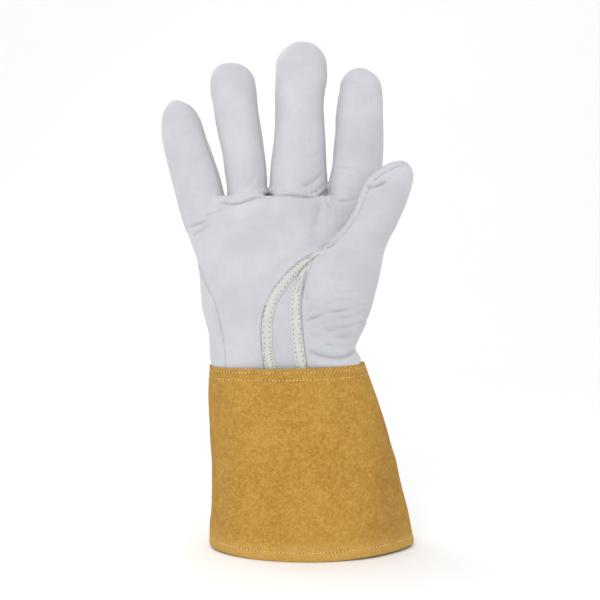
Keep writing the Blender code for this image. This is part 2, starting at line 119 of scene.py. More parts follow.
def section(table, z):
    """A form's left and right edge, middle and half depth at many heights."""
    heights = np.arange(table[0][0], table[-1][0] + 1)
    rows = np.array([along(table, h) for h in heights])
    return [np.interp(z, heights, rows[:, k]) for k in range(4)]


def smooth_line(points, count):
    table = [(i, *p) for i, p in enumerate(points)]
    return np.array([along(table, (len(points) - 1) * i / (count - 1)) for i in range(count)])


def hump(value, middle, width):
    """A smooth rise to 1 where value passes middle, and 0 well away from it."""
    return np.exp(-(((value - middle) / width) ** 2))


# %% [markdown]
# ## The form of the hand
# Each row is a level section: its height, its left and right edge, how far its middle lies in front of the pattern's
# plane, and half its depth. The fingers are cut straight, so a form is filled out by the hand inside it. Their tips
# close in an ellipse, whose length is in `TIP`.

# %% Sections of the palm, fingers and thumb
PALM = (
    (110, -46, 44, 0, 19.5), (115, -47.8, 46.8, 0, 20.3), (120, -49.8, 48.9, 0, 21),
    (124, -50.4, 47.8, 0, 21.2), (129, -50.6, 44.8, 0, 21.2), (135, -50.8, 47, 0, 21.3),
    (140, -51.2, 49.5, 0, 21.2), (146, -52.7, 52, 0, 21), (155, -54.9, 53.5, 0, 20.6),
    (166, -56, 54.5, 0, 19.8), (177, -56.8, 55, 0, 18.9), (187, -58.3, 55.5, 0, 18),
    (198, -62.6, 57, 0, 16.8), (208, -66, 58.5, 0, 15.6), (218, -69.8, 60, 0, 14.4),
    (224, -71.5, 60.6, 0, 13.6), (228, -72.3, 61, 0, 12.8),
)
LITTLE = (
    (205, -66, -33, 0, 10.5), (218, -70, -37.5, 0, 12.2), (228.9, -72.8, -40.7, -0.25, 12.4),
    (239.4, -75.4, -43.5, -0.5, 12.2), (249.9, -78.1, -46.8, -0.75, 11.9), (260.4, -80.7, -50.2, -1.1, 11.5),
    (265.7, -81.5, -52.2, -1.3, 11.3), (270.9, -81.9, -53.9, -1.5, 11.1), (276.2, -81.8, -55.9, -1.75, 10.9),
    (281.4, -81, -58, -2, 10.8), (286.2, -78.9, -61.6, -2.2, 10.8), (288.6, -77, -64.6, -2.3, 10.8),
    (290.4, -75.7, -68.6, -2.35, 10.8), (291.6, -73.2, -71.2, -2.35, 10.8),
)
RING = (
    (205, -41, -12, 0, 11), (218, -40.2, -12.8, 0, 12.8), (228.9, -39, -13.4, 0, 13),
    (239.4, -40, -13.3, -0.25, 13), (244.7, -40.7, -13.5, -0.4, 13), (255.2, -42, -14.6, -0.6, 12.8),
    (265.7, -44.6, -15.9, -0.9, 12.5), (276.2, -46.6, -17.4, -1.2, 12.2), (286.6, -47.9, -19.1, -1.5, 12),
    (297.1, -49.9, -19.9, -1.9, 11.9), (302.4, -49.9, -20.5, -2.1, 11.8), (307.2, -49, -22.4, -2.3, 11.8),
    (310, -47.8, -24.4, -2.4, 11.8), (312.4, -45.8, -27, -2.5, 11.8), (314.4, -42.6, -30.4, -2.5, 11.8),
    (315.8, -38.2, -34.8, -2.5, 11.8),
)
MIDDLE_FINGER = (
    (205, -9, 24, 0, 11.5), (218, -10.6, 25, 0, 13.2), (228.9, -11.4, 25.6, 0, 13.4),
    (239.4, -11.2, 26.3, -0.25, 13.4), (250, -10.4, 26, -0.4, 13.3), (265.7, -8.5, 25.3, -0.75, 13),
    (276.2, -7.9, 24.5, -1, 12.8), (288, -7.9, 24, -1.3, 12.6), (297.1, -7.9, 24.8, -1.6, 12.5),
    (302.4, -7.4, 25.9, -1.8, 12.5), (312.9, -7.1, 26, -2.2, 12.4), (317.6, -6.2, 25.3, -2.4, 12.4),
    (321.4, -3.9, 23.4, -2.5, 12.4), (324.9, -0.5, 20.4, -2.5, 12.4), (327.8, 3.6, 16.6, -2.5, 12.4),
    (329.4, 8.2, 11.4, -2.5, 12.4),
)
INDEX = (
    (205, 25, 57, 0, 11), (218, 25.8, 59, 0, 12.6), (228.9, 26.6, 61, 0, 13),
    (239.4, 27.8, 62.2, -0.25, 13), (250, 29.6, 62.8, -0.5, 12.9), (260.4, 30.2, 63.1, -0.7, 12.7),
    (270.9, 31.5, 62.8, -1, 12.4), (281.4, 32.1, 62.6, -1.3, 12.1), (291.9, 33.5, 62.4, -1.6, 11.9),
    (297.1, 34.5, 61.9, -1.8, 11.8), (302.4, 35, 60.8, -2, 11.7), (306.4, 37.4, 58.3, -2.15, 11.7),
    (309.6, 40.2, 54.5, -2.25, 11.7), (311.5, 43, 50.8, -2.3, 11.7), (312.6, 46, 47.8, -2.3, 11.7),
)
THUMB = (
    (133, 12, 46, -3, 12.5), (145, 9, 50.5, -6, 15.4), (155, 7.5, 54.6, -8, 16.8), (166, 7.6, 57.2, -10, 17.6),
    (176, 10, 59.4, -13, 18), (186, 15, 61, -17.5, 17.8), (191, 20, 61.8, -20.5, 17.4),
    (196, 25.2, 63.5, -23.5, 16.6), (200.5, 30, 65.4, -26.5, 15.8), (205.3, 35, 67.7, -29.3, 15),
    (210.1, 38.7, 69.5, -32, 14.2), (214.9, 41.5, 71.5, -34, 13.6), (219.7, 43.5, 73.5, -35.5, 13.2),
    (224.3, 45, 75, -36.8, 12.8), (229.2, 46.5, 76.5, -37.8, 12.4), (234.1, 49.1, 77.5, -38.4, 12.2),
    (238.6, 53.6, 77.3, -38.8, 12), (242, 58.4, 76, -39, 12), (244.6, 63.4, 73.6, -39, 12),
    (246, 68, 71.4, -39, 12),
)
STALLS = {"little": LITTLE, "ring": RING, "middle": MIDDLE_FINGER, "index": INDEX}
TIP = {"little": 14, "ring": 14, "middle": 15, "index": 14, "thumb": 17}
print("sections:", sum(len(table) for table in (PALM, THUMB, *STALLS.values())))

# %% [markdown]
# A form is lofted: one circle for each level is pushed into its section's shape, and `bridge_loops` joins each circle
# to the one below. A squarer section than an ellipse fills out the palm, as two flat pieces sewn edge to edge do.


# %% Lofting a form
def add_form(bm, table, power, tip=0, step=2.0, sides=56):
    low, high = table[0][0], table[-1][0]
    levels = round((high - low) / step)
    below = None
    for i in range(levels + 1):
        height = low + (high - low) * i / levels
        left, right, middle, depth = along(table, height)
        if tip:
            past = max(0.0, (height - (high - tip)) / tip)
            depth *= math.sqrt(max(0.0004, 1 - past**2))
        ring = bmesh.ops.create_circle(bm, segments=sides, radius=1.0)["verts"]
        for corner in ring:
            c, s = corner.co.x, corner.co.y
            across = math.copysign(abs(c) ** (2 / power), c) * (right - left) / 2
            deep = math.copysign(abs(s) ** (2 / power), s) * depth
            corner.co = place((left + right) / 2 + across, middle + deep, height)
        edges = {edge for corner in ring for edge in corner.link_edges}
        if below:
            bmesh.ops.bridge_loops(bm, edges=list(below | edges))
        else:
            bmesh.ops.contextual_create(bm, geom=list(edges))
        below = edges
    bmesh.ops.contextual_create(bm, geom=list(below))


form = bmesh.new()
add_form(form, PALM, 2.7, sides=80)
for name, table in STALLS.items():
    add_form(form, table, 2.25, TIP[name])
add_form(form, THUMB, 2.15, TIP["thumb"])
bmesh.ops.triangulate(form, faces=[f for f in form.faces if len(f.verts) > 4])
bmesh.ops.recalc_face_normals(form, faces=form.faces)
print("form:", len(form.faces), "faces in", len(STALLS) + 2, "overlapping lofts")

# %% [markdown]
# The lofts overlap. A voxel remesh turns them into one closed skin of even small faces, which can be shaped like
# clay, and a few rounds of `smooth_vert` round off the joins, such as the web between two fingers.

# %% One skin
VOXEL = 0.85


def add_object(name, bm):
    mesh = bpy.data.meshes.new(name)
    bm.to_mesh(mesh)
    bm.free()
    thing = bpy.data.objects.new(name, mesh)
    bpy.context.scene.collection.objects.link(thing)
    return thing


def evaluated(thing):
    """A bmesh of the object with its modifiers, and the object is removed."""
    bm = bmesh.new()
    bm.from_object(thing, bpy.context.evaluated_depsgraph_get())
    mesh = thing.data
    bpy.data.objects.remove(thing)
    bpy.data.meshes.remove(mesh)
    return bm


rough = add_object("hand_form", form)
remesh = rough.modifiers.new("skin", "REMESH")
remesh.mode = "VOXEL"
remesh.voxel_size = VOXEL * MM
skin = evaluated(rough)
for _ in range(round(7 / VOXEL)):
    bmesh.ops.smooth_vert(skin, verts=skin.verts, factor=0.5, use_axis_x=True, use_axis_y=True, use_axis_z=True)
hand_skin = add_object("hand_skin", skin)
print("skin:", len(hand_skin.data.polygons), "faces")

# %% [markdown]
# ## Seams, folds and creases
# On the real hand the seams pull the leather in, and it folds where the hand bends. Each fold here is a line on the
# palm, seen from the front. Every corner of the skin near it moves a little along its own normal: down in the middle
# of the line and up beside it. The lines were placed one by one, as a sculptor would place them. `fold` and `swell`
# read the corners `co` and their share `facing` the front, which each later cell sets first.


# %% Distance from a line
def from_line(points, co, count=26):
    """Signed distance of each point from a line seen from the front, and its share along the line."""
    line = smooth_line(points, count)
    flat = co[:, (0, 2)]
    best, side, share = np.full(len(co), 1e9), np.zeros(len(co)), np.zeros(len(co))
    for i, (start, end) in enumerate(zip(line[:-1], line[1:])):
        way = end - start
        length = np.hypot(*way) + 1e-9
        away = flat - start
        t = np.clip(away @ way / length**2, 0, 1)
        off = away - t[:, None] * way
        distance = np.hypot(off[:, 0], off[:, 1])
        closer = distance < best
        best[closer] = distance[closer]
        side[closer] = np.sign(way[0] * away[closer, 1] - way[1] * away[closer, 0])
        share[closer] = (i + t[closer]) / (count - 1)
    return best * np.where(side == 0, 1, side), share


def fold(points, width, depth, ridge=0.3, ends=0.25):
    """A furrow with a soft ridge on each side, which fades out towards both ends."""
    distance, share = from_line(points, co)
    off = np.abs(distance)
    shape = -hump(off, 0, width) + ridge * hump(off, 2.1 * width, 1.1 * width)
    fade = smoothstep(0, ends, share) * smoothstep(1, 1 - ends, share) if ends else 1.0
    return depth * shape * fade * facing


def swell(points, width, height, ends=0.3):
    """A broad soft rise along a line, or a valley if its height is negative."""
    distance, share = from_line(points, co)
    fade = smoothstep(0, ends, share) * smoothstep(1, 1 - ends, share)
    return height * hump(distance, 0, width) * fade * facing


def normals(mesh):
    flat = np.empty(len(mesh.vertices) * 3)
    mesh.vertex_normals.foreach_get("vector", flat)
    return flat.reshape(-1, 3)


def rough_noise(co, scale, seed=0.0):
    """Noise from -1 to 1 at each point. scale holds the size of its lumps along X, Y and Z."""
    cells = co / np.array(scale) + seed
    return np.array([noise.noise(Vector(c)) for c in cells])


def push(mesh, co, way, amount):
    moved = (co + way * np.asarray(amount)[:, None] - MIDDLE) * MM
    mesh.vertices.foreach_set("co", moved.ravel())
    mesh.update()


# %% [markdown]
# First come the large forms: the hollow of the palm, the pads beside it, and the valley between the index finger and
# the thumb. The hand inside is never quite even, so broad noise moves the leather by a few tenths of a millimetre.

# %% Large forms
mesh = hand_skin.data
co, way = pattern(mesh), normals(mesh)
facing = smoothstep(0.25, -0.45, way[:, 1])
amount = swell([(-46, 206), (-30, 214), (-8, 219), (18, 219)], 8, 0.9)
amount += swell([(-47, 132), (-47, 155), (-50, 178), (-55, 198)], 10, 1.0)
amount += swell([(-24, 140), (-22, 165), (-12, 190), (0, 203)], 14, -0.3)
amount += swell([(23.8, 229), (21.0, 217), (19.5, 206), (19.5, 192)], 5.0, -1.1)
amount += swell([(32, 224), (34, 214), (31, 206)], 6, 0.7)
amount += 0.35 * rough_noise(co, (22, 22, 26)) + 0.16 * rough_noise(co, (8, 8, 11), 7.0)
push(mesh, co, way, amount)
print("large forms: from", round(float(amount.min()), 2), "to", round(float(amount.max()), 2), "mm")

# %% [markdown]
# Then come the folds. The ring and middle fingers are sewn on across their roots, so their leather stands over the
# palm and puckers at the seam. The thumb's root creases above the cuff, where elastic gathers the wrist.

# %% Folds and creases
RING_ROOT = [
    (-39.5, 222.9), (-36.2, 222.1), (-32, 222.5), (-27.3, 223.7), (-20.9, 225.9), (-15.8, 227.3), (-12.3, 229.3),
]
MIDDLE_ROOT = [
    (-12.3, 229.3), (-8.5, 228.3), (-2, 228.2), (5, 227.5), (12, 226.8), (17.5, 226.9), (21.5, 228.6), (25.4, 232),
]
LITTLE_SIDE_SEAM = [
    (-56.6, 182.5), (-54.8, 177), (-52.2, 170.9), (-49, 165.8), (-46.5, 160.7), (-43.9, 152.4), (-42, 142.8),
    (-40.4, 135.1), (-39.4, 127.5), (-38.6, 114),
]
PALM_BAND_EDGE = [
    (22.6, 191.9), (16.1, 189.4), (10.4, 186.2), (5, 181.8), (0.2, 177.3), (-4.4, 171.9), (-8.3, 166.5),
    (-11.2, 160.8), (-13.4, 155.6), (-14.8, 149.9), (-15.5, 144.2), (-15.5, 132.2), (-14.6, 125.2), (-13.2, 111),
]
THUMB_BAND_EDGE = [
    (17, 187), (14.6, 182.4), (12.2, 175.6), (10.6, 169), (9.5, 163.9), (9, 153.7), (9.8, 141),
    (11.2, 129.6), (13.4, 111),
]
THUMB_EDGE = [
    (20.6, 190.4), (23.9, 194.6), (30.1, 200.8), (36.9, 207.6), (42, 216.4), (44.8, 223.6), (47.4, 229.8),
    (52.1, 235.2), (58.2, 239.6), (64.2, 242.7), (69, 244.2),
]
co, way = pattern(mesh), normals(mesh)
facing = smoothstep(0.25, -0.35, way[:, 1])
amount = np.zeros(len(co))
for root in (RING_ROOT, MIDDLE_ROOT):
    distance, share = from_line(root, co)
    over = hump(distance, 2.6, 2.4) * (distance > 0)
    pucker = 0.75 + 0.25 * np.sin(share * 34 + 3 * np.sin(share * 9))
    amount += facing * (0.85 * over * pucker - 0.25 * hump(distance, -1.6, 1.8))
    amount += fold(root, 0.75, 0.95, ridge=0.0, ends=0)
amount += fold(LITTLE_SIDE_SEAM, 0.55, 0.6, ridge=0.35, ends=0)
amount += fold(PALM_BAND_EDGE, 0.7, 0.75, ends=0)
distance, share = from_line(PALM_BAND_EDGE, co)
roll = hump(distance, 2.0, 1.6) * facing * (0.55 + 0.45 * smoothstep(0.45, 0.05, share))
amount += (0.95 + 0.6 * smoothstep(0.45, 0.15, share)) * roll
amount -= 0.8 * hump(distance, -4.0, 4.0) * facing * smoothstep(0.5, 0.1, share)
amount += fold(THUMB_BAND_EDGE, 0.7, 0.7, ends=0)
distance, share = from_line(THUMB_BAND_EDGE, co)
amount += 0.8 * hump(-distance, 2.1, 1.8) * facing * smoothstep(0.02, 0.15, share)
thumb_front = smoothstep(-17, -24, co[:, 1])
distance, share = from_line(THUMB_EDGE, co)
rim = smoothstep(0.0, 0.06, share)
welt = hump(distance, -2.6, 0.65) * thumb_front * rim
amount += thumb_front * rim * 0.6 * hump(distance, -0.7, 1.0) - 0.75 * welt
amount += thumb_front * fold([(47.0, 228.4), (50.6, 228.3), (54.2, 228.9), (58, 230.4), (61.4, 232.2)], 1.1, 1.3, 0.5)
amount += thumb_front * fold([(46.5, 225.5), (51, 226.2), (55, 228)], 0.9, 0.5, 0.3)
thumb_root_folds = (
    ([(9.5, 146.2), (14.5, 148.4), (19.8, 150.4), (27.9, 152.5), (37, 154.2), (46, 155)], 1.1, 0.7),
    ([(20, 140.6), (28, 141), (37.6, 143.2), (46, 145.4), (53, 148.6)], 1, 0.55),
    ([(11.5, 139.6), (18, 138), (28.7, 136.6), (37, 136.8), (47.9, 138.6)], 1.1, 0.5),
    ([(30, 148.2), (38, 149), (46, 151.2), (54, 154.6)], 1.1, 0.35),
    ([(22, 133.4), (30, 131.9), (38, 131.6), (47, 134)], 1.3, 0.45),
    ([(24, 158.6), (34, 160.2), (44, 160.8), (54, 162.4)], 1, 0.22),
    (
        [
            (11, 129.2), (17, 127.4), (22.4, 125.7), (28, 124.6),
            (33.2, 124.1), (38.5, 124.9), (42.5, 127.4), (46.5, 131.6),
        ],
        1.3, 1.3,
    ),
)
for points, width, depth in thumb_root_folds:
    amount += fold(points, 1.2 * width, 0.8 * depth, 0.4, 0.2)
amount += swell([(14, 132.0), (26, 129.2), (38, 129.5), (46, 134)], 3.2, 0.9)
amount += swell([(12, 122), (26, 120), (40, 121)], 3.0, 0.7)
finger_folds = (
    ([(-66, 206.6), (-60, 208.6), (-55, 210.3), (-45.2, 213.4)], 1, 0.6),
    ([(-64, 200.8), (-58, 203.8), (-53, 206.8), (-46, 212.2)], 1.1, 0.55),
    ([(-57, 212.8), (-48, 216.2), (-41, 218.8), (-32, 221.2)], 0.9, 0.4),
    ([(-62.5, 195.5), (-57.5, 198.5), (-52, 203)], 1.1, 0.3),
    ([(2, 261.3), (9, 260.8), (13, 261.7), (18, 263.6)], 1.1, 0.3),
    ([(8, 233), (13.5, 234.8), (18, 237.4), (25.4, 244.4)], 1.2, 0.6),
    ([(14.2, 228.6), (18, 230), (21.6, 232.6), (26, 237.2)], 1, 0.65),
    ([(11.5, 251.4), (16, 252.6), (19, 254.2), (25, 257)], 1.2, 0.3),
    ([(28.5, 246.2), (33, 245.5), (38, 244.4), (46, 242.4)], 1.2, 0.35),
    ([(30.4, 225.4), (36, 224.2), (41.5, 224.5), (48.4, 227.4)], 1.2, 0.4),
    ([(24.2, 230.5), (25, 227), (26.4, 222.6), (30.6, 215.6)], 1.1, 0.5),
    ([(23.6, 229), (21.6, 222), (19.5, 214), (19, 205)], 1.6, 0.3),
    ([(-28.8, 229.8), (-24.5, 233.8), (-21.8, 237.6), (-18, 244.4)], 1.5, 0.4),
    ([(-70.2, 272), (-68, 266), (-66.4, 261), (-64.5, 250)], 2, 0.35),
    ([(-42.4, 301.4), (-38.5, 304.4), (-34, 306.2), (-28.5, 305.6)], 1.4, 0.3),
    ([(39, 298.6), (43, 299.6), (47, 299.8), (52, 301.4)], 1.2, 0.3),
)
for points, width, depth in finger_folds:
    amount += fold(points, width, depth)
at_root = smoothstep(9, 16, co[:, 0]) * smoothstep(180, 160, co[:, 2]) * smoothstep(117, 124, co[:, 2]) * facing
amount += 0.32 * at_root * rough_noise(co, (24, 24, 2.6), 3.0) + 0.16 * at_root * rough_noise(co, (13, 13, 1.5), 9.0)
at_little = smoothstep(-40, -52, co[:, 0]) * smoothstep(190, 204, co[:, 2]) * smoothstep(232, 218, co[:, 2]) * facing
slanted = co @ np.array(((0.94, 0, 0.34), (0, 1, 0), (-0.34, 0, 0.94)))
amount += 0.22 * at_little * rough_noise(slanted, (16, 16, 2.4), 5.0)
push(mesh, co, way, amount)
print("folds:", len(thumb_root_folds) + len(finger_folds), "deepest", round(float(-amount.min()), 2), "mm")

# %% [markdown]
# The fingers' side strips are sewn in with two long seams on each side that faces another finger. The outer sides of
# the little finger and the index finger have one seam each, where the palm's leather meets the back's. Those two
# run on down the hand, and below `ROUND` the little finger's comes round to the front as `LITTLE_SIDE_SEAM`.


# %% Seams along the fingers
ROOTS, ROUND, LITTLE_SIDE = 229, 181, -30


def side_seam(level, depth, where, high_side):
    """A furrow on the skin's sides at a given place in depth, for the corners that where allows."""
    sideways = smoothstep(0.35, 0.75, np.abs(way[:, 0])) * where * (way[:, 0] * high_side > 0)
    return depth * sideways * (0.35 * hump(np.abs(co[:, 1] - level), 1.5, 0.8) - hump(co[:, 1], level, 0.65))


def side_level(height):
    """How deep the seam below the little finger lies: it comes forward towards the wrist."""
    return -6.5 * smoothstep(212, ROUND, height)


co, way = pattern(mesh), normals(mesh)
amount = np.zeros(len(co))
for name, table in STALLS.items():
    left, right, middle, _ = section(table, np.minimum(co[:, 2], table[-1][0]))
    own = (co[:, 0] > left - 2.5) & (co[:, 0] < right + 2.5) & (co[:, 2] > ROOTS)
    share = np.clip((co[:, 2] - ROOTS) / (table[-1][0] - ROOTS), 0, 1)
    narrow = 1 - smoothstep(0.45, 0.92, share)
    for side in (-1, 1):
        outer = (name == "little" and side < 0) or (name == "index" and side > 0)
        for face in (-1,) if outer else (-1, 1):
            level = middle + (0 if outer else face * (0.35 + 4.6 * narrow))
            amount += side_seam(level, 0.5, own & (share > 0), side)
low_edge = (co[:, 2] < ROOTS) & (co[:, 2] > ROUND) & (co[:, 0] < -50)
amount += side_seam(side_level(co[:, 2]), 0.5, low_edge, -1)
thumb_side = (co[:, 2] < ROOTS) & (co[:, 2] > 204) & (co[:, 0] > 50)
amount += side_seam(0.0, 0.5, thumb_side, 1)
push(mesh, co, way, amount)
print("side seams:", int((amount < -0.25).sum()), "corners in the furrows")

# %% [markdown]
# The back is plain. Elastic is sewn inside it at the wrist, and gathers the leather into short upright pleats above
# and below its row of stitches.

# %% Gathers over the wrist elastic
ELASTIC = 142.0
co, way = pattern(mesh), normals(mesh)
behind = smoothstep(0.15, 0.6, way[:, 1])
near = hump(co[:, 2], ELASTIC, 9.0)
reach = smoothstep(44, 34, np.abs(co[:, 0] + 2.5))
pleats = np.sin(co[:, 0] * 1.15 + 1.1 * np.sin(co[:, 0] * 0.31) + 0.02 * (co[:, 2] - ELASTIC) * np.sin(co[:, 0] * 0.7))
amount = behind * reach * near * (0.55 * pleats - 1.5)
facing = smoothstep(0.1, 0.5, way[:, 1])
for points, width, depth in (
    ([(-62, 219), (-52, 222), (-40, 226)], 1.8, 0.25), ([(-36, 224), (-26, 226), (-15, 228)], 1.8, 0.2),
    ([(-8, 227), (6, 226), (20, 227)], 1.8, 0.2), ([(30, 227), (42, 225), (56, 223)], 1.8, 0.25),
):
    amount += fold(points, width, depth)
push(mesh, co, way, amount)
print("gathers:", round(float(-amount.min()), 2), "mm deep at the elastic")

# %% [markdown]
# ## Cutting the skin at its joints
# So the skin is cut into pieces, each cut where both sides move as one. A finger's cuts lie across it: one just
# above the web beside it, and one between its root and its crease. They are planes, so `bisect_plane` makes clean
# edges.

# %% Where the skin is cut
JOINT = {joint["child"]: joint for joint in frame["joints"]}
LEATHER = 1.1


def pivot(body):
    return Vector(JOINT[body]["pos_m"])


class Digit:
    """A finger or thumb: which way it points, and how far along it lie the web, the middle cut and the crease."""

    def __init__(self, name, way, web, cut, crease, origin=None):
        self.name, self.way = name, Vector(way).normalized()
        self.web, self.cut, self.crease = web, cut, crease
        self.origin = origin or pivot(name)

    def at(self, distance):
        return self.origin + self.way * distance * MM

    def height(self, co):
        """How far each pattern point lies along the digit, in millimetres."""
        return (co - unplace(self.origin)) @ np.array(self.way)


DIGITS = []
for name, web in (("little", 6.2), ("ring", 4.2), ("middle", 6.9), ("index", 6.5)):
    axis = JOINT[name]["axis"]
    way = Vector((-axis[2], 0, axis[0]))
    crease = (pivot(name + "_tip") - pivot(name)).dot(way.normalized()) / MM
    DIGITS.append(Digit(name, way, web, crease - 13, crease))
thumb_way = (0.1, -0.42, 0.9)
DIGITS.append(Digit("thumb", thumb_way, 0.0, 11.5, 18.4, place(52, -16, 209.8)))
for digit in DIGITS:
    print(digit.name, "web", digit.web, "cut", round(digit.cut, 1), "crease", round(digit.crease, 1), "mm")

# %% [markdown]
# `belongs` says which finger each point belongs to, by the table that shaped it. Between two fingers the middle of
# their gap divides them. The thumb stands in front of the palm, so a plane that leans with it divides it from them.
# The tables give the form before it was smoothed and folded, so each limit has a few millimetres of slack.


# %% Telling the digits apart
EDGE_SLACK, DEPTH_SLACK, WEB_SLACK = 4, 2.5, 1.5


def belongs(digit, co):
    left, right, middle, depth = section(THUMB if digit.name == "thumb" else STALLS[digit.name], co[:, 2])
    low, high = left - EDGE_SLACK, right + EDGE_SLACK
    if digit.name == "thumb":
        inside = co[:, 1] < -16.3 - 0.05 * (co[:, 2] - 208)
    else:
        inside = co[:, 1] > middle - depth - 3.0
        fingers = list(STALLS)
        i = fingers.index(digit.name)
        if i > 0:
            low = np.maximum(low, (left + section(STALLS[fingers[i - 1]], co[:, 2])[1]) / 2)
        if i < len(fingers) - 1:
            high = np.minimum(high, (right + section(STALLS[fingers[i + 1]], co[:, 2])[0]) / 2)
    inside &= (co[:, 0] > low) & (co[:, 0] < high) & (co[:, 1] < middle + depth + DEPTH_SLACK)
    return inside & (digit.height(co) > digit.web - WEB_SLACK)


bm = bmesh.new()
bm.from_mesh(hand_skin.data)
for digit in DIGITS:
    bm.verts.ensure_lookup_table()
    mine = belongs(digit, unplace([v.co for v in bm.verts]))
    bm.verts.index_update()
    for distance in (digit.web, digit.cut):
        faces = [f for f in bm.faces if all(v.index >= len(mine) or v.index < 0 or mine[v.index] for v in f.verts)]
        edges = {e for f in faces for e in f.edges}
        verts = {v for f in faces for v in f.verts}
        bmesh.ops.bisect_plane(
            bm, geom=[*verts, *edges, *faces], dist=0.02 * MM, plane_co=digit.at(distance), plane_no=digit.way
        )
        bm.verts.index_update()
        mine = belongs(digit, unplace([v.co for v in bm.verts]))
bm.faces.ensure_lookup_table()
print("cut skin:", len(bm.faces), "faces")

# %% [markdown]
# Every face then gets the name of its piece. The palm's leather meets the back's along the sides, and low on the
# little finger's side their seam comes round to the front. The corners along that seam are moved onto it, so that
# the two pieces meet in a clean line.

# %% Naming the faces
centres = unplace([f.calc_center_median() for f in bm.faces])
seam_distance, _ = from_line(LITTLE_SIDE_SEAM, centres)
on_side, low = centres[:, 0] < LITTLE_SIDE, centres[:, 2] < ROUND
level = np.where(on_side & ~low, side_level(centres[:, 2]), 0.0)
back = (centres[:, 1] > level) | (low & on_side & (seam_distance < 0))
piece_of = np.where(back, "back_leather", "palm_leather").astype(object)
for digit in DIGITS:
    height = digit.height(centres)
    own = belongs(digit, centres)
    piece_of[own & (height > digit.web) & (height <= digit.cut)] = digit.name + "_root"
    piece_of[own & (height > digit.cut)] = digit.name + "_upper"
names, counts = np.unique(piece_of.astype(str), return_counts=True)
print("faces:", dict(zip(names.tolist(), counts.tolist())))

for vert in bm.verts:
    kinds = {piece_of[f.index] for f in vert.link_faces}
    if kinds == {"palm_leather", "back_leather"}:
        at = unplace(vert.co)
        level = float(side_level(at[2])) if at[0] < LITTLE_SIDE and at[2] > ROUND else 0.0
        if abs(at[1] - level) < 1.5:
            vert.co.y = place(0, level, 0).y
        else:
            line = smooth_line(LITTLE_SIDE_SEAM, 400)
            nearest = line[np.argmin(np.hypot(line[:, 0] - at[0], line[:, 1] - at[2]))]
            if np.hypot(nearest[0] - at[0], nearest[1] - at[2]) < 1.6:
                spot = place(nearest[0], 0, nearest[1])
                vert.co.x, vert.co.z = spot.x, spot.z

# %% [markdown]
# A `crease` attribute holds how hollow the skin is at each corner, from the corner's height under its neighbours.
# The leather's colour is painted a little darker there, as painted shade in the hollows of seams and folds.

# %% How hollow the skin is
DEEPEST = 0.07
hollow = bm.verts.layers.float.new("crease")
bm.normal_update()
values = {}
for vert in bm.verts:
    around = [edge.other_vert(vert).co for edge in vert.link_edges]
    mean = sum(around, Vector()) / len(around)
    values[vert] = (mean - vert.co).dot(vert.normal) / MM
for _ in range(2):
    values = {
        v: (values[v] + sum(values[e.other_vert(v)] for e in v.link_edges)) / (1 + len(v.link_edges)) for v in bm.verts
    }
for vert, value in values.items():
    vert[hollow] = max(0.0, min(1.0, value / DEEPEST))
print("creases:", sum(value > 0.02 for value in values.values()), "corners")

# %% [markdown]
# Each piece is copied out and given the leather's thickness, towards the inside, by a Solidify modifier. Its outer
# side stays where it was sculpted, so neighbouring pieces still meet. The rims are marked sharp, so that the shading
# of the outer side runs on past the cut.


# %% Pieces with a thickness
def add_piece(name, bm, materials, smooth_below=50):
    """A finished piece, with smooth shading apart from edges that turn by more than smooth_below degrees."""
    for face in bm.faces:
        face.smooth = True
    for edge in bm.edges:
        edge.smooth = edge.calc_face_angle(math.pi) < math.radians(smooth_below)
    piece = add_object(name, bm)
    for material in materials:
        piece.data.materials.append(material)
    print(f"{name}: {len(piece.data.polygons)} faces")
    return piece


def thickened(bm, thickness):
    sheet = add_object("sheet", bm)
    solid = sheet.modifiers.new("thickness", "SOLIDIFY")
    solid.thickness, solid.offset = thickness * MM, -1
    return evaluated(sheet)


# %% [markdown]
# ## Finishes
# A finish is a small network of nodes. `Flow` wraps one socket, so that an expression such as `1 - spots * 0.3` adds
# its Math nodes, and `Finish.node` adds any other node.


# %% Sockets and nodes
class Flow:
    """One value on its way through a finish."""

    def __init__(self, finish, socket):
        self.finish, self.socket = finish, socket

    def math(self, operation, first, second):
        made = self.finish.node("ShaderNodeMath", {"operation": operation}, {0: first, 1: second})
        return Flow(self.finish, made.outputs[0])

    def __add__(self, other):
        return self.math("ADD", self, other)

    def __sub__(self, other):
        return self.math("SUBTRACT", self, other)

    def __rsub__(self, other):
        return self.math("SUBTRACT", other, self)

    def __mul__(self, other):
        return self.math("MULTIPLY", self, other)

    __radd__, __rmul__ = __add__, __mul__


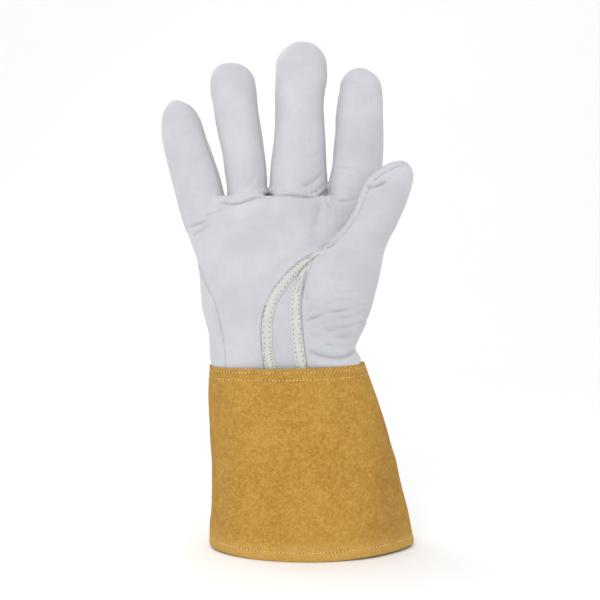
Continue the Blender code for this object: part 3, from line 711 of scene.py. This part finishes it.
class Finish:
    """A material and its nodes."""

    def __init__(self, name):
        self.material = bpy.data.materials.new(name)
        self.material.use_nodes = True
        self.tree = self.material.node_tree
        self.tree.nodes.clear()
        self.place = self.flow("ShaderNodeTexCoord", output="Object")

    def node(self, kind, settings=None, sockets=None):
        made = self.tree.nodes.new(kind)
        for name, value in (settings or {}).items():
            setattr(made, name, value)
        for name, value in (sockets or {}).items():
            if isinstance(value, Flow):
                self.tree.links.new(value.socket, made.inputs[name])
            else:
                made.inputs[name].default_value = value
        return made

    def flow(self, kind, settings=None, sockets=None, output=0):
        return Flow(self, self.node(kind, settings, sockets).outputs[output])

    def stretched(self, scale):
        return self.flow("ShaderNodeMapping", None, {"Vector": self.place, "Scale": scale})

    def noise(self, size, detail=4.0, rough=0.55, vector=None):
        """Noise whose lumps are about size millimetres across, from 0 to 1."""
        sockets = {"Vector": vector or self.place, "Scale": 1000 / size, "Detail": detail, "Roughness": rough}
        return self.flow("ShaderNodeTexNoise", None, sockets)

    def cells(self, size):
        return self.flow("ShaderNodeTexVoronoi", None, {"Vector": self.place, "Scale": 1000 / size})

    def spread(self, value, low, high):
        """The value's range from low to high, stretched to run from 0 to 1."""
        return self.flow("ShaderNodeMapRange", {"interpolation_type": "SMOOTHSTEP"}, {0: value, 1: low, 2: high})

    def blend(self, share, first, second):
        return self.flow("ShaderNodeMix", {"data_type": "RGBA"}, {0: share, 6: first, 7: second}, 2)

    def bump(self, height, distance, strength):
        return self.flow("ShaderNodeBump", None, {"Height": height, "Distance": distance * MM, "Strength": strength})

    def done(self, **sockets):
        shader = self.node("ShaderNodeBsdfPrincipled", None, {k.replace("_", " "): v for k, v in sockets.items()})
        self.node("ShaderNodeOutputMaterial", None, {"Surface": Flow(self, shader.outputs[0])})
        print("finish", self.material.name, "of", len(self.tree.nodes), "nodes")
        return self.material


def srgb(red, green, blue):
    """A colour as a screen shows it, 0 to 255, in the linear values that a shader takes."""
    linear = [c / 12.92 if c <= 0.04045 else ((c + 0.055) / 1.055) ** 2.4 for c in (red / 255, green / 255, blue / 255)]
    return (*linear, 1.0)


# %% [markdown]
# Grain leather has a fine pebble of cells about half a millimetre across, with smaller pores, and faint clouds where
# the dye took unevenly. The grain is shallow and matt, and the folds are painted slightly darker, as painted shade.

# %% White grain leather
f = Finish("white_grain_leather")
grain = f.spread(f.cells(0.75), 0.05, 0.75)
wrinkle = f.noise(3.2, 5.0, 0.62)
clouds = f.spread(f.noise(26, 3.0), 0.32, 0.68)
crease = f.flow("ShaderNodeAttribute", {"attribute_name": "crease"}, output="Fac")
tone = f.blend(clouds * 0.9, srgb(198, 199, 204), srgb(188, 189, 194))
tone = f.blend(f.spread(wrinkle, 0.45, 0.8) * 0.35, tone, srgb(182, 183, 189))
# Painted shade: the colour darkens towards grey where the skin is hollow, in seams, folds and pleats.
tone = f.blend(f.spread(crease, 0.25, 1.0) * 0.36, tone, srgb(130, 129, 129))
height = (1 - grain) * 0.35 + wrinkle * 0.8
HAND = f.done(
    Base_Color=tone, Roughness=0.5 + clouds * 0.1, Normal=f.bump(height, 0.16, 0.7), Specular_IOR_Level=0.35,
    Sheen_Weight=0.08, Sheen_Roughness=0.5,
)

# %% [markdown]
# The bands are the same leather, uncoloured, so they look warmer. Their cut edges show the fibres.

# %% Cream band leather
f = Finish("cream_band_leather")
fibres = f.noise(0.6, 4.0)
tone = f.blend(f.spread(f.noise(7, 3.0), 0.3, 0.7), srgb(204, 205, 202), srgb(196, 197, 194))
BAND = f.done(Base_Color=tone, Roughness=0.62, Normal=f.bump(fibres, 0.12, 0.7), Specular_IOR_Level=0.3)

# %% [markdown]
# Split leather is the hide's inner layer. Its nap of short fibres scatters light, lies in different directions, and
# takes the dye in blotches, so the colour needs noise at several sizes. The sides are painted darker, as painted shade
# where the cuff turns away from the light, and the low hem is painted paler, as painted light on its bulge. Sheen gives
# its soft bright edge.

# %% Napped cuff leather
f = Finish("ochre_split_leather")
blotches = f.spread(f.noise(26, 3.0, 0.55, f.stretched((1.0, 1.0, 0.7))), 0.32, 0.68)
patches = f.spread(f.noise(7, 5.0, 0.65), 0.36, 0.64)
nap = f.noise(2.8, 6.0, 0.75)
curls = f.spread(f.noise(2.1, 5.0, 0.75, f.stretched((1.0, 1.0, 1.4))), 0.40, 0.62)
specks = f.spread(f.noise(1.3, 4.0, 0.75), 0.42, 0.64)
tone = f.blend(blotches * 0.8, srgb(182, 136, 54), srgb(203, 158, 70))
tone = f.blend(patches * 0.5, tone, srgb(172, 122, 44))
tone = f.blend(f.spread(nap, 0.42, 0.62) * 0.5, tone, srgb(218, 174, 90))
tone = f.blend((1 - curls) * 0.34, tone, srgb(148, 97, 32))
tone = f.blend(specks * 0.30, tone, srgb(226, 186, 106))
across = f.flow("ShaderNodeSeparateXYZ", None, {"Vector": f.place}, "X") - 0.007
upward = f.flow("ShaderNodeSeparateXYZ", None, {"Vector": f.place}, "Z")
# Painted shade: the colour darkens, in patches, towards the cuff's left and right sides, which turn away from the
# light.
tone = f.blend(f.spread(across * across, 0.0008, 0.0034) * (0.24 + patches * 0.26), tone, srgb(148, 111, 58))
# Painted light: the colour is paler towards the bottom, up to 16 mm, on the hem's bulge that faces down.
tone = f.blend((1 - f.spread(upward, 0.004, 0.016)) * 0.35, tone, srgb(232, 192, 110))
height = nap * 0.7 + curls * 0.3 + f.noise(0.7, 3.0, 0.7) * 0.3
SUEDE = f.done(
    Base_Color=tone, Roughness=0.95, Normal=f.bump(height, 0.7, 0.9), Specular_IOR_Level=0.12,
    Sheen_Weight=0.15, Sheen_Roughness=0.6, Sheen_Tint=srgb(240, 205, 130),
)

# %% [markdown]
# Sewing thread is a twist of fine yarns. At this size a wave across the stitch gives the twist, and each hole is a
# flat dark disc, painted shade for the shadow inside it.


# %% Thread, holes and elastic
def thread(name, light, dark):
    f = Finish(name)
    sockets = {"Vector": f.place, "Scale": 900.0, "Distortion": 2.0}
    twist = f.flow("ShaderNodeTexWave", {"bands_direction": "DIAGONAL"}, sockets)
    tone = f.blend(twist * 0.6, light, dark)
    return f.done(Base_Color=tone, Roughness=0.7, Normal=f.bump(twist, 0.1, 0.6), Sheen_Weight=0.2)


THREAD = thread("cream_thread", srgb(222, 220, 205), srgb(190, 187, 168))
CUFF_THREAD = thread("yellow_thread", srgb(236, 214, 150), srgb(214, 186, 112))
# Painted shade: the hole finishes are dark, for the shadow inside each needle hole.
f = Finish("stitch_hole")
HOLE_SHADE = f.done(Base_Color=f.blend(f.noise(1.0), srgb(154, 151, 126), srgb(128, 125, 102)), Roughness=0.9)
f = Finish("cuff_stitch_hole")
CUFF_HOLE_SHADE = f.done(Base_Color=f.blend(f.noise(1.0), srgb(126, 84, 32), srgb(100, 64, 22)), Roughness=0.9)

# %% [markdown]
# ## The hand's pieces
# Each piece is copied out of the cut skin and given the leather's thickness, and the plain nodes it replaces are
# hidden.

# %% Palm, back, fingers and thumb
WRIST_START, WRIST_END = place(-1.5, 0, 118), place(-1.5, 0, 150)
skin_mesh = bpy.data.meshes.new("cut_skin")
piece_layer = bm.faces.layers.int.new("piece")
kinds = sorted(set(piece_of))
for face in bm.faces:
    face[piece_layer] = kinds.index(piece_of[face.index])
bm.to_mesh(skin_mesh)
skin_tree = BVHTree.FromBMesh(bm)
bm.free()
hand_pieces = {}
for kind in kinds:
    part = bmesh.new()
    part.from_mesh(skin_mesh)
    mark = part.faces.layers.int["piece"]
    others = [f for f in part.faces if f[mark] != kinds.index(kind)]
    bmesh.ops.delete(part, geom=others, context="FACES")
    hand_pieces[kind] = add_piece(kind, thickened(part, LEATHER), [HAND])
bpy.data.objects.remove(hand_skin)

NODES = frame["nodes"]
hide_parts("palm_panel", "thumb_gusset", "thumb_root_panel")
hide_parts("back_panel")
for kind in ("palm_leather", "back_leather"):
    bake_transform(hand_pieces[kind])
ELSEWHERE = ("seam", "gusset", "root_panel")
for digit in DIGITS:
    root, upper = hand_pieces[digit.name + "_root"], hand_pieces[digit.name + "_upper"]
    own = [n for n in NODES if n.startswith(digit.name + "_") and not any(word in n for word in ELSEWHERE)]
    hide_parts(*[n for n in own if not n.endswith("_tip")])
    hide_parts(*[n for n in own if n.endswith("_tip")])
    digit.at(digit.web + 0.3)
    digit.at(digit.cut - 0.5)
    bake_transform(root)
    reach = 11 if digit.name != "thumb" else 6.4
    digit.at(digit.crease - reach)
    digit.at(digit.crease + reach)
    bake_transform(upper)

# %% [markdown]
# ## Seam bands
# A strip of leather covers each of the palm's two long seams. It is a flat grid, laid along the seam and dropped onto
# the palm from the front with a ray for each corner. Its edges touch the palm, its middle stands a little higher, and
# Solidify gives it its thickness.

# %% Bands on the palm
BAND_LEATHER = 0.8
FAR = 90
PALM_BAND = [
    (-9.4, 111), (-9.9, 117.6), (-11.5, 125), (-12.1, 132.2), (-12.4, 144.2), (-10.8, 155.6), (-5.8, 166),
    (1.4, 175), (8, 181.6), (13.6, 186.2), (18.6, 189.2), (22.6, 191),
]
THUMB_BAND = [
    (10.2, 111), (9.4, 118.3), (7.4, 130), (6.2, 141), (5.7, 153.7), (6.2, 165), (7.6, 172), (10.2, 177.9),
    (14.4, 183.4),
]


def on_palm(x, z):
    """The palm's surface seen straight from the front, and its normal."""
    hit, normal, _, _ = skin_tree.ray_cast(place(x, -FAR, z), Vector((0, 1, 0)))
    return hit, normal


def seam_line(points, count):
    """Points and sideways directions along a line on the palm, in pattern X and Z."""
    line = smooth_line(points, count)
    way = np.gradient(line, axis=0)
    way /= np.hypot(way[:, 0], way[:, 1])[:, None]
    return line, np.stack((way[:, 1], -way[:, 0]), axis=1)


def laid(line, across, share, offset, lift):
    spot = share * (len(line) - 1)
    i = min(len(line) - 2, int(spot))
    t = spot - i
    point = line[i] * (1 - t) + line[i + 1] * t
    side = across[i] * (1 - t) + across[i + 1] * t
    hit, normal = on_palm(*(point + side * offset))
    return hit + normal * lift * MM, normal


def narrowed(share):
    """A band's width, as a share of its full width: both bands narrow where they run together under the thumb."""
    return 1 - 0.70 * float(smoothstep(0.54, 0.97, share))


def band(points, width, lift):
    line, across = seam_line(points, 160)
    length = float(np.hypot(*np.diff(line, axis=0).T).sum())
    strip = bmesh.new()
    bmesh.ops.create_grid(strip, x_segments=round(length / 0.9), y_segments=10, size=1)
    for corner in strip.verts:
        u, v = (corner.co.x + 1) / 2, corner.co.y
        ragged = 1 + 0.03 * noise.noise(Vector((u * length / 3, v * 2, lift)))
        height = lift + BAND_LEATHER - 0.28 * abs(v) ** 5 + 0.05 * noise.noise(Vector((u * length / 4, v, 5 + lift)))
        height -= 1.1 * float(smoothstep(0.90, 1.0, u))
        corner.co, _ = laid(line, across, u, v * width / 2 * ragged * narrowed(u), height)
    bmesh.ops.recalc_face_normals(strip, faces=strip.faces)
    if sum(f.normal.y for f in strip.faces) > 0:
        bmesh.ops.reverse_faces(strip, faces=strip.faces)
    return thickened(strip, BAND_LEATHER - 0.05)


BANDS = {"palm": (PALM_BAND, 6.3, 0.15), "thumb": (THUMB_BAND, 6.5, 0.0)}
for name, measures in BANDS.items():
    strip = add_piece(name + "_seam_strip", band(*measures), [BAND])
    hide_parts(name + "_seam_band")
    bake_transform(strip)

# %% [markdown]
# ## Stitches
# A lockstitch shows as short slanted threads, one after another, each going down through a hole at its ends. Each
# thread is a small sphere, stretched along the seam and half sunk. There are hundreds, so each has few faces.


# %% One stitch
def add_stitch(bm, at, way, normal, length, thick, hole):
    """A stitch's thread, and the hole that it starts from. All sizes are in millimetres."""
    way = (way - normal * way.dot(normal)).normalized()
    side = normal.cross(way)
    for vert in bmesh.ops.create_uvsphere(bm, u_segments=6, v_segments=5, radius=1)["verts"]:
        x, y, z = vert.co
        vert.co = at + (way * z * length / 2 + side * x * thick / 2 + normal * (y * thick / 2)) * MM
    start = at - way * (length / 2 + 0.22) * MM
    # The hole is a flat disc, sunk a little, with the dark hole finish as painted shade.
    pit = bmesh.ops.create_cone(bm, cap_ends=True, segments=7, radius1=1, radius2=1, depth=1)["verts"]
    for vert in pit:
        x, y, z = vert.co
        vert.co = start + (way * x * hole * 0.66 + side * y * hole * 0.5 + normal * (z * 0.2 - 0.06)) * MM
    for face in {face for vert in pit for face in vert.link_faces}:
        face.material_index = 1


PITCH, INSET = 2.36, 1.35


def band_stitches(name, node, points, width, lift, side):
    line, across = seam_line(points, 200)
    length = float(np.hypot(*np.diff(line, axis=0).T).sum())
    row = bmesh.new()
    count = round(length / PITCH)
    for i in range(count - 1):
        share = (i + 0.7) / count
        if share > 0.86:
            break
        offset = side * (width / 2 * narrowed(share) - INSET * min(1, narrowed(share) + 0.15))
        at, normal = laid(line, across, share, offset, lift + BAND_LEATHER + 0.05)
        ahead, _ = laid(line, across, share + 0.004, offset, lift + BAND_LEATHER + 0.05)
        add_stitch(row, at, ahead - at, normal, length=1.5, thick=0.5, hole=0.8)
    piece = add_piece(name, row, [THREAD, HOLE_SHADE])
    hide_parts(node)
    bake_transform(piece)


for name, edge, side in (("palm", "outer", -1), ("palm", "inner", 1), ("thumb", "outer", 1), ("thumb", "inner", -1)):
    band_stitches(f"{name}_strip_stitches_{edge}", f"{name}_seam_band_{edge}_stitches", *BANDS[name], side)

# %% [markdown]
# ## The wrist elastic's stitches
# The elastic is inside, so only its zigzag of thread shows, low on the back.


# %% Zigzag over the elastic
def on_back(x, z):
    hit, normal, _, _ = skin_tree.ray_cast(place(x, FAR, z), Vector((0, -1, 0)))
    return hit, normal


zigzag = bmesh.new()
steps = 46
for i in range(steps):
    x = -36 + 68 * i / (steps - 1)
    up = 1 if i % 2 else -1
    start, normal = on_back(x, ELASTIC - 1.7 * up)
    end, _ = on_back(x + 68 / (steps - 1), ELASTIC + 1.7 * up)
    at = (start + end) / 2 + normal * 0.12 * MM
    add_stitch(zigzag, at, end - start, normal, (end - start).length / MM * 0.98, thick=0.5, hole=0.6)
zigzag = add_piece("elastic_zigzag", zigzag, [THREAD, HOLE_SHADE])
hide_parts("wrist_elastic_stitches")
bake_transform(zigzag)

# %% [markdown]
# ## The cuff
# The cuff is one piece of split leather, wider at its hem, joined edge to edge at the back. Its hem is turned up
# inside and sewn. So its section is drawn from the raw top edge down, round the fold, and up inside for 12 mm. One
# ring of edges for each point of the section, bridged to the last, makes the sheet, and Solidify its thickness.

# %% The cuff's form
CUFF = (
    (0, -50.6, 83, 37.8), (3.2, -50.6, 82.8, 37.6), (13.7, -50.6, 80.9, 36.8), (24.2, -49.6, 78.9, 35.2),
    (34.7, -49.4, 76.3, 34.1), (45.2, -49.4, 73.9, 32.9), (55.7, -49.4, 71.6, 31.6), (66.2, -50.1, 68.2, 30.4),
    (76.7, -50.5, 65.3, 29.2), (87.2, -51.1, 62.1, 28), (97.7, -51.6, 58.7, 26.8), (108.2, -51.3, 54.9, 25.6),
    (119.4, -50.6, 51, 24.5), (122, -50.3, 50.2, 24.3),
)
CUFF_LEATHER, HEM, SEAM_TURN = 1.6, 12.0, 38.0
ROWS = {"upper": 118.6, "lower": 113.8, "hem": 5.8}


def cuff_point(turn, height, inward=0.0):
    """A point on the cuff's outer side. turn is in degrees from the thumb's side, round by the back."""
    c, s = math.cos(math.radians(turn)), math.sin(math.radians(turn))
    height -= (1.9 + 1.7 * max(0, -s) - 0.9 * c) * float(smoothstep(60, 118, height))
    lift = 1.3 * float(smoothstep(0.0, 0.78, c)) + 0.8 * float(smoothstep(0.5, 0.88, -c))
    height += lift * (1 - float(smoothstep(0, 50, height)))
    left, right, depth = along(CUFF, max(0.0, min(122.0, height)))
    flatter = float(smoothstep(0.0, 0.35, -s)) * (1 - float(smoothstep(20, 115, height)))
    power = 2.05 - 0.12 * c - flatter * (0.30 * max(0.0, c) + 0.16 * max(0.0, -c))
    depth -= 1.6 * max(0, s) * (1 - height / 122)
    wave = 0.4 * noise.noise(Vector((c * 2.2, s * 2.2, height / 30))) * min(1, max(0, (118 - height) / 60))
    half = (right - left) / 2 - inward + wave
    deep = depth - inward + wave
    x = (left + right) / 2 + math.copysign(abs(c) ** (2 / power), c) * half
    y = math.copysign(abs(s) ** (2 / power), s) * deep
    return place(x, y, height)


def cuff_normal(turn, height):
    across = cuff_point(turn + 0.6, height) - cuff_point(turn - 0.6, height)
    upward = cuff_point(turn, height + 0.6) - cuff_point(turn, height - 0.6)
    return across.cross(upward).normalized()


section = [(121.0 - 1.25 * i, 0.0) for i in range(95)]
section += [(1.7 * (1 - math.sin(a)) + 0.02, 1.7 * (1 - math.cos(a))) for a in np.radians([12, 30, 50, 70, 90])]
section += [(1.7 * (1 - math.cos(a)) + 0.02, 1.7 * (1 + math.sin(a))) for a in np.radians([25, 50, 75])]
section += [(z, 3.4) for z in np.linspace(2.6, HEM, 7)]
sheet = bmesh.new()
last = None
around = 250
for height, inward in section:
    ring = bmesh.ops.create_circle(sheet, segments=around, radius=1)["verts"]
    dent = sum(0.28 * math.exp(-(((height - z) / 0.9) ** 2)) for z in ROWS.values()) if inward == 0 else 0
    dent -= 0.35 * math.exp(-(((height - 4.0) / 3.5) ** 2)) if inward == 0 else 0
    for corner in ring:
        turn = math.degrees(math.atan2(corner.co.y, corner.co.x)) % 360
        seam = abs((turn - SEAM_TURN + 180) % 360 - 180)
        gap = 0.8 * math.exp(-((seam / 0.8) ** 2)) if inward == 0 else 0
        raw = 0.35 * noise.noise(Vector((turn / 3, 0, 4))) if height > 119.5 else 0
        corner.co = cuff_point(turn, height + raw, inward + dent + gap)
    edges = {edge for corner in ring for edge in corner.link_edges}
    if last:
        bmesh.ops.bridge_loops(sheet, edges=list(last | edges))
    last = edges
bmesh.ops.recalc_face_normals(sheet, faces=sheet.faces)
outer = max(sheet.faces, key=lambda f: f.calc_center_median().x)
if outer.normal.x < 0:
    bmesh.ops.reverse_faces(sheet, faces=sheet.faces)
cuff = add_piece("cuff_leather", thickened(sheet, CUFF_LEATHER), [SUEDE])
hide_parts("cuff_panel")
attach(cuff, "cuff")


# %% [markdown]
# Two rows of stitches hold the hand in the cuff, and one holds the hem. They go all the way round. Two more run up
# beside the closing seam.

# %% Stitches on the cuff
def finish_row(name, node, row):
    piece = add_piece(name, row, [CUFF_THREAD, CUFF_HOLE_SHADE])
    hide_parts(node)
    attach(piece, "cuff")


def cuff_row(name, node, height, pitch):
    row = bmesh.new()
    turn, spots = 0.0, []
    while turn < 360:
        spots.append(turn)
        step = (cuff_point(turn + 0.5, height) - cuff_point(turn, height)).length / MM
        turn += 0.5 * pitch / max(step, 0.05)
    for turn in spots[:-1]:
        sunk = (0.20 if height > 60 else 0.04) + 0.42 * noise.noise(Vector((turn / 9, height, 1)))
        at = cuff_point(turn, height, sunk)
        ahead = cuff_point(turn + 0.3, height + 0.02 * noise.noise(Vector((turn, 2, 3))), sunk)
        add_stitch(row, at, ahead - at, cuff_normal(turn, height), pitch * 0.66, thick=0.62, hole=0.75)
    finish_row(name, node, row)


cuff_row("cuff_row_upper", "cuff_stitches_upper", ROWS["upper"], 2.2)
cuff_row("cuff_row_lower", "cuff_stitches_lower", ROWS["lower"], 2.2)
cuff_row("hem_row", "hem_stitches", ROWS["hem"], 2.3)
for edge, shift in (("front", -2.6), ("rear", 2.6)):
    row = bmesh.new()
    height = 13.0
    while height < 108:
        degree = (cuff_point(SEAM_TURN + 1, height) - cuff_point(SEAM_TURN, height)).length / MM
        turn = SEAM_TURN + shift / degree
        at = cuff_point(turn, height, 0.05)
        way = cuff_point(turn, height + 1) - at
        add_stitch(row, at, way, cuff_normal(turn, height), length=1.5, thick=0.6, hole=0.75)
        height += 2.3
    finish_row("cuff_seam_row_" + edge, "cuff_seam_stitches_" + edge, row)

# %% [markdown]
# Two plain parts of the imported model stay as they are, inside the glove, and only get a finish: the strip behind the
# cuff's seam, and the wrist elastic, which is ribbed along its length.

# %% Finishes for the inner parts
f = Finish("ribbed_elastic")
ribs = f.flow("ShaderNodeTexWave", {"bands_direction": "Z"}, {"Vector": f.place, "Scale": 300.0, "Distortion": 0.3})
tone = f.blend(ribs * 0.6, srgb(226, 225, 218), srgb(188, 187, 180))
ELASTIC_FINISH = f.done(Base_Color=tone, Roughness=0.8, Normal=f.bump(ribs, 0.3, 0.8))
for node, material in (("cuff_seam_backing", SUEDE), ("wrist_elastic", ELASTIC_FINISH)):
    NODES[node].data.materials.clear()
    NODES[node].data.materials.append(material)

# %% [markdown]
# ## Floor, light and camera
# The glove stands in a white sweep: a floor that curves up behind into a wall, so no horizon shows. A broad soft
# light from the upper left shapes the folds, with an even white surround.

# %% A white sweep
sweep = bmesh.new()
bend = [(1.0 + 0.8 * math.sin(a), 0.8 - 0.8 * math.cos(a)) for a in np.radians(range(10, 91, 10))]
profile = [(-2.2, 0), (1.0, 0), *bend, (1.8, 3.0)]
points = [sweep.verts.new((-3.0, y, z)) for y, z in profile]
line = [sweep.edges.new(pair) for pair in zip(points[:-1], points[1:])]
swept = bmesh.ops.extrude_edge_only(sweep, edges=line)["geom"]
bmesh.ops.translate(sweep, verts=[part for part in swept if isinstance(part, bmesh.types.BMVert)], vec=(6, 0, 0))
bmesh.ops.recalc_face_normals(sweep, faces=sweep.faces)
f = Finish("white_paper")
PAPER = f.done(Base_Color=f.blend(f.noise(400, 1.0), (0.96, 0.96, 0.96, 1), (0.98, 0.98, 0.98, 1)), Roughness=0.9)
floor = add_piece("floor_sweep", sweep, [PAPER], 80)

# %% [markdown]
# The key light stands in front, high on the left. A weaker one behind lights the fingers' edges. Places and sizes
# are in metres here.


# %% Soft lights
def soft_light(name, where, towards, power, size):
    light = bpy.data.lights.new(name, "AREA")
    light.shape, light.size, light.size_y, light.energy = "RECTANGLE", size[0], size[1], power
    lamp = bpy.data.objects.new(name, light)
    bpy.context.scene.collection.objects.link(lamp)
    lamp.location = where
    lamp.rotation_euler = (Vector(towards) - Vector(where)).to_track_quat("-Z", "Y").to_euler()
    print(name, "light of", power, "W")


soft_light("key", (-0.4, -1.3, 1.1), (0, 0, 0.17), 7, (0.7, 0.7))
soft_light("rim", (-0.9, 0.5, 1.3), (0, 0, 0.2), 3, (0.7, 0.7))
world = bpy.data.worlds.new("surround")
bpy.context.scene.world = world
world.use_nodes = True
surround = world.node_tree.nodes["Background"]
surround.inputs["Color"].default_value = (1.0, 1.0, 1.0, 1)
surround.inputs["Strength"].default_value = 0.92
bpy.context.scene.view_settings.view_transform = "Standard"

# %% [markdown]
# The camera looks level at the palm from half a metre away, with a lens a little longer than normal.

# %% Camera
AWAY = 550
lens = bpy.data.cameras.new("camera")
lens.sensor_width, lens.lens = 36, 50.3
camera = bpy.data.objects.new("camera", lens)
bpy.context.scene.collection.objects.link(camera)
camera.location = place(8.5, -AWAY, 160.7)
camera.rotation_euler = (math.pi / 2, 0, 0)
bpy.context.scene.camera = camera
print("camera", AWAY, "mm away")
